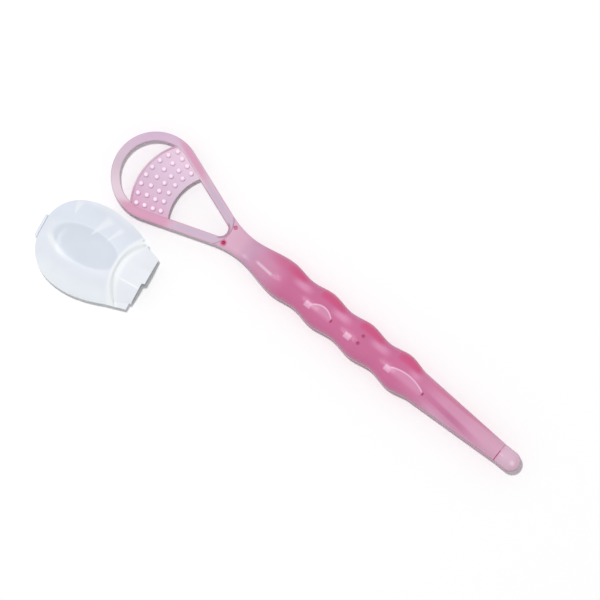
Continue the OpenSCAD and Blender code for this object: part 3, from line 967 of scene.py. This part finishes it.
def crescent_outline(inset, front_inset, rear_inset):
    """The plate's outline, moved inwards from the head's outline and from both of its edges."""
    upper = crescent_side(inset, front_inset, rear_inset)
    turn = math.atan2(upper[0][1], upper[0][0] - PLATE_FRONT_MID)
    front = arc(PLATE_FRONT_MID, PLATE_FRONT_R - front_inset, 2 * math.pi - turn, turn, PLATE_ARC)
    turn = math.atan2(upper[-1][1], upper[-1][0] - PLATE_REAR_MID)
    rear = arc(PLATE_REAR_MID, PLATE_REAR_R + rear_inset, turn, 2 * math.pi - turn, PLATE_ARC)
    lower = [(x, -y) for x, y in reversed(upper)]
    return front[1:-1] + upper + rear[1:-1] + lower


def make_tongue():
    tongue = slab("tongue", [tongue_outline(0)], 0, TONGUE_T)
    window = slab("window", [head_hole()], -CUT_OVER, TONGUE_T + CUT_OVER)
    combine(tongue, [window], "DIFFERENCE")
    return tongue


def make_lip():
    upper = crescent_side(RING_BAND - LIP_ROOT, 0, 0)
    turn = math.atan2(upper[0][1], upper[0][0] - PLATE_FRONT_MID)
    front = arc(PLATE_FRONT_MID, PLATE_FRONT_R, 2 * math.pi - turn, turn, LIP_ARC)
    back = arc(PLATE_FRONT_MID, PLATE_FRONT_R - LIP_W, turn, 2 * math.pi - turn, LIP_ARC)
    return slab("lip", [front + back], 0, LIP_H, LIP_EDGE)


def make_head():
    head = slab("head", [head_outer(), head_hole()], 0, FRAME_T, RING_EDGE, RING_EDGE_STEPS)
    plate = slab("plate", [crescent_outline(RING_BAND / 2, 0, 0)], 0, PLATE_T, PLATE_EDGE)
    combine(head, [plate, make_tongue(), make_lip()], "UNION")
    combine(head, [peg_hole(side) for side in (-1, 1)], "DIFFERENCE")
    soften(head, level_apart=True)
    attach(head, "scraper")
    paint(head, HEAD)
    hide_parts("head_frame")


def make_pegs():
    rim = [(PEG_R - inset, PEG_TOP - drop) for inset, drop in PEG_ROUNDING]
    profile = [(0, 0), (PEG_R, 0)] + rim + [(0, PEG_TOP)]
    for side, name in ((-1, "peg_right"), (1, "peg_left")):
        place = Matrix.Translation((PEG_X, side * PEG_Y, 0))
        peg = mesh_object(name, *lathe(profile, PEG_SIDES), "scraper", "peg_plastic", place)
        soften(peg)
        paint(peg, PEG)
        if side == 1:
            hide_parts("neck_pegs")


def nub_profile():
    """Half profile of a nub with a small foot and a round tip."""
    r = NUB_D / 2
    foot = [(0, 0)] + [(r + out, z) for out, z in NUB_FOOT]
    return foot + quarter(r, NUB_H + NUB_ROOT, NUB_ARC)


def nub_places():
    """Places of the nubs, each row on an arc about a centre behind it."""
    places = []
    for place_share, count, span_share in NUB_ROWS:
        centre = mix(-PLATE_FRONT, PLATE_REAR, place_share) + NUB_ROW_R
        fan = math.asin(RING_R * span_share / NUB_ROW_R)
        places += arc(centre, NUB_ROW_R, math.pi - fan, math.pi + fan, count)
    return places


def make_nubs():
    points = []
    faces = []
    nub_points, nub_faces = lathe(nub_profile(), NUB_SIDES)
    for x, y in nub_places():
        start = len(points)
        points += [(px + x, py + y, pz + PLATE_T + PAD_T - NUB_ROOT) for px, py, pz in nub_points]
        faces += [tuple(i + start for i in face) for face in nub_faces]
    return mesh_object("nubs", points, faces)


def make_pad():
    outline = crescent_outline(RING_BAND - PAD_ROOT, LIP_W - PAD_ROOT, 0)
    pad = slab("nub_pad_soft", [outline], PLATE_T + SEAT_GAP, PLATE_T + PAD_T, PAD_EDGE)
    combine(pad, [make_nubs()], "UNION")
    soften(pad, level_apart=True)
    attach(pad, "scraper")
    paint(pad, PAD)
    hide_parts("nub_pad")


# Cap: u runs from the hinge to the mouth, v across, and lines are counted from the edge inwards
FOOT_LINE = 2
NECK_LINE = 3
INNER_LINE = 5
CENTRE_LINE = 7


def egg_half(u):
    """Half width of the cap's egg at u."""
    reach, power = CAP_REAR, CAP_REAR_POWER
    if u < CAP_MID:
        reach, power = CAP_FRONT, CAP_FRONT_POWER
    return CAP_W / 2 * (1 - min(1, abs(u - CAP_MID) / reach) ** power) ** (1 / power)


def edge_half(u):
    """Half width of the cap at u, with straight sides from its widest place to the mouth."""
    if u < CAP_MID:
        return egg_half(u)
    return max(egg_half(u), mix(CAP_W / 2, MOUTH_HALF, (u - CAP_MID) / (CAP_L - CAP_MID)))


def neck_half(u):
    """Half width of the cap's neck at u, which leaves room for the scraper's arms."""
    x = u - CAP_WALL - HEAD_ROOM - RING_R
    foot = edge_half(u) - CAP_WALL - 2 * WALL_FOOT
    wide = (RING_R + HEAD_ROOM + CAP_WALL - x * math.sin(ARM_ANGLE)) / math.cos(ARM_ANGLE)
    return min(wide, foot - WALL_FOOT)


def half_lines(u):
    """Lines across the cap from its edge to its centre: wall, foot, neck line, neck wall, ridge."""
    edge = edge_half(u)
    foot = edge - CAP_WALL - WALL_FOOT
    neck = neck_half(u)
    inner = neck - CAP_WALL - WALL_FOOT
    ridge = min(RIDGE_HALF, inner / 2)
    return [edge, edge - CAP_WALL, foot, neck, neck - CAP_WALL, inner, ridge, 0]


def fine_lines(u):
    """Each line's number and place, with more lines where the shell is open."""
    lines = half_lines(u)
    marks = list(range(FOOT_LINE + 1))
    for k in range(FOOT_LINE, CENTRE_LINE):
        marks += [k + (j + 1) / LINE_SPLITS for j in range(LINE_SPLITS)]
    half = []
    for mark in marks:
        k = int(mark)
        half.append((mark, mix(lines[k], lines[min(k + 1, CENTRE_LINE)], mark - k)))
    return half + [(mark, -v) for mark, v in reversed(half[:-1])]


def mouth_draw(mark, v):
    """How far the mouth is drawn back: a short flange, a long one, and a step in the neck."""
    if mark < NECK_LINE:
        return LONG_DRAW if v > 0 else SHORT_DRAW
    return STEP_DRAW if v < MOUTH_STEP_V else 0


def before_shoulder(u, v, wall):
    return math.hypot(u - SHOULDER_MID, v) > SHOULDER_R + wall


def smooth_min(a, b, width):
    """The smaller of two heights, with a soft change from one to the other."""
    h = clip(0.5 + (b - a) / (2 * width))
    return mix(b, a, h) - width * h * (1 - h)


def dome_z(u, v):
    """Height of the lid's dome: a skirt, and a crown that swells from it."""
    d = abs(u - FACE_MID) / (FACE_MID if u < FACE_MID else FACE_REAR)
    crown = (CAP_H - LID_RIM - SKIRT_H) * FACE_SWELL * (1 - min(1, d) ** FACE_LENGTH_POWER)
    across = min(1, abs(v) / edge_half(u))
    return LID_RIM + SKIRT_H + crown * (1 - across ** FACE_WIDTH_POWER)


def lid_z(u, v):
    """Height of the lid's outside: the dome up to the shoulder, and the neck's roof beyond it."""
    shoulder = CAP_PART + FLANGE_T
    shoulder += (math.hypot(u - SHOULDER_MID, v) - SHOULDER_R) * (CAP_H - CAP_PART) / SHOULDER_FLARE
    top = smooth_min(smooth_min(CAP_H, dome_z(u, v), FACE_BLEND), shoulder, SHOULDER_BLEND)
    if before_shoulder(u, v, CAP_WALL + SHOULDER_FLARE):
        return top
    neck = neck_half(u)
    ridge = min(RIDGE_HALF, (neck - CAP_WALL - WALL_FOOT) / 2)
    roof = CAP_PART + FLANGE_T + NECK_ROOF_H * clip((neck - abs(v)) / (neck - ridge))
    return -smooth_min(-top, -roof, NECK_BLEND)


def tray_z(u, v, mark):
    """Height of the base's outside, which is rounded along its edges."""
    def rounded(distance):
        return BASE_ROUND * (1 - clip(distance / BASE_ROUND)) ** 2
    if before_shoulder(u, v, 0):
        return rounded(min(edge_half(u) - abs(v), u))
    return CAP_PART - FLANGE_T if mark < NECK_LINE else rounded(neck_half(u) - abs(v))


def shell_sheets(us, outer, rim):
    """Points of a shell's outside and of its inside, row by row from the hinge to the mouth."""
    outside = []
    inside = []
    for u in us:
        for mark, v in fine_lines(u):
            drawn = u - mouth_draw(mark, v) * clip((u - SHOULDER_U) / (CAP_L - SHOULDER_U))
            open_from = FOOT_LINE if before_shoulder(u, v, CAP_WALL) else INNER_LINE
            hollow = u > CAP_WALL + WALL_FOOT / 2 and mark >= open_from
            z = outer(u, v, mark)
            inward = CAP_WALL if rim > z else -CAP_WALL
            outside.append((drawn, v, z))
            inside.append((drawn, v, z + inward if hollow else rim))
    return outside, inside


def shell_faces(rows, n):
    """Faces of two sheets, each with rows of n points, and of the strips that join their edges."""
    count = rows * n
    faces = []
    for k in range(rows - 1):
        for i in range(n - 1):
            a = k * n + i
            quad = (a, a + 1, a + n + 1, a + n)
            faces += [quad, tuple(p + count for p in reversed(quad))]
        for a in (k * n, k * n + n - 1):
            faces.append((a, a + n, a + n + count, a + count))
    for i in range(n - 1):
        for a in (i, (rows - 1) * n + i):
            faces.append((a, a + 1, a + 1 + count, a + count))
    return faces


def cap_shell(name, body, outer, rim):
    """One shell of the cap: outer(u, v, mark) is its outside and rim the height where it ends."""
    us = [0, CAP_WALL / 2, CAP_WALL] + list(np.linspace(CAP_WALL + WALL_FOOT, CAP_L, CAP_STEPS))
    outside, inside = shell_sheets(us, outer, rim)
    faces = shell_faces(len(us), len(outside) // len(us))
    shell = mesh_object(name, outside + inside, faces, body, "cap_plastic", CAP_PLACE)
    soften(shell, CAP_SHARP_ANGLE)
    paint(shell, CAP)
    return shell


def make_cap():
    lid = cap_shell("cap_lid_shell", "cap_lid", lambda u, v, mark: lid_z(u, v), LID_RIM)
    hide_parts("cap_lid")
    tray = cap_shell("cap_tray_shell", "cap_base", tray_z, CAP_PART)
    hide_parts("cap_base")
    paint(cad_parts["cap_hinge"], CAP)


make_handle()
make_tail()
make_head()
make_pegs()
make_pad()
make_cap()


# Floor, light and camera, with the places and sizes of lamps and camera in metres
FLOOR_HALF = 1500
FLOOR_DROP = 0.02
FLOOR_TONE = 0.95
FLOOR_ROUGHNESS = 0.9
IMAGE_RIGHT = Vector((0.7777, 0.6287, 0)).normalized()
TILT = math.radians(84)
TARGET = Vector((0.0633, -0.0019, 0.0005))
CAMERA_DISTANCE = 4
VIEW_WIDTH = 0.2
CLIP_START = 0.1
WORLD_STRENGTH = 0.47
# how far a lamp leans to the picture's left and top, as shares of its height
KEY_LEAN = (0.11, 0.125)
SOFTBOX_LEAN = (0.275, 0.105)
KEY_DISTANCE = 2
KEY_SIZE = 0.16
KEY_POWER = 24.1
SOFTBOX_SIZE = 0.3
SOFTBOX_POWER = 0.8


def make_floor():
    z = REST_Z - FLOOR_DROP
    corners = [(-FLOOR_HALF, -FLOOR_HALF, z), (FLOOR_HALF, -FLOOR_HALF, z),
               (FLOOR_HALF, FLOOR_HALF, z), (-FLOOR_HALF, FLOOR_HALF, z)]
    floor = mesh_object("floor", corners, [(0, 1, 2, 3)])
    material, _, shader = new_material("floor_white")
    shader.inputs["Base Color"].default_value = (FLOOR_TONE, FLOOR_TONE, FLOOR_TONE, 1)
    shader.inputs["Roughness"].default_value = FLOOR_ROUGHNESS
    shader.inputs["Specular IOR Level"].default_value = 0.0
    paint(floor, material)


def area_light(name, place, size, power):
    """A round lamp that shines at the target."""
    light = bpy.data.lights.new(name, "AREA")
    light.shape = "DISK"
    light.size = size
    light.energy = power
    lamp = bpy.data.objects.new(name, light)
    bpy.context.scene.collection.objects.link(lamp)
    lamp.location = place
    lamp.rotation_euler = (TARGET - place).to_track_quat("-Z", "Y").to_euler()
    return lamp


def make_camera():
    """Looks steeply down at the target; gives the direction of the picture's top."""
    away = Vector((IMAGE_RIGHT.y * math.cos(TILT), -IMAGE_RIGHT.x * math.cos(TILT), math.sin(TILT)))
    up = away.cross(IMAGE_RIGHT)
    camera = bpy.data.cameras.new("camera")
    camera.lens = camera.sensor_width * CAMERA_DISTANCE / VIEW_WIDTH
    camera.clip_start = CLIP_START
    holder = bpy.data.objects.new("camera", camera)
    bpy.context.scene.collection.objects.link(holder)
    turn = Matrix((IMAGE_RIGHT, up, away)).transposed().to_4x4()
    holder.matrix_world = Matrix.Translation(TARGET + away * CAMERA_DISTANCE) @ turn
    bpy.context.scene.camera = holder
    return up


def make_world():
    world = bpy.data.worlds.new("studio")
    world.use_nodes = True
    world.node_tree.nodes["Background"].inputs["Color"].default_value = (1, 1, 1, 1)
    world.node_tree.nodes["Background"].inputs["Strength"].default_value = WORLD_STRENGTH
    bpy.context.scene.world = world
    bpy.context.scene.view_settings.view_transform = "Standard"


def leaning(up, lean):
    """One metre up, leaning to the picture's left and top."""
    flat_up = Vector((up.x, up.y, 0)).normalized()
    return -IMAGE_RIGHT * lean[0] + flat_up * lean[1] + Vector((0, 0, 1))


def make_lights(up):
    key_place = TARGET + leaning(up, KEY_LEAN).normalized() * KEY_DISTANCE
    key = area_light("key", key_place, KEY_SIZE, KEY_POWER)
    key.visible_glossy = False
    key.visible_transmission = False
    softbox = area_light("softbox", TARGET + leaning(up, SOFTBOX_LEAN), SOFTBOX_SIZE, SOFTBOX_POWER)
    softbox.visible_diffuse = False


make_floor()
make_world()
make_lights(make_camera())
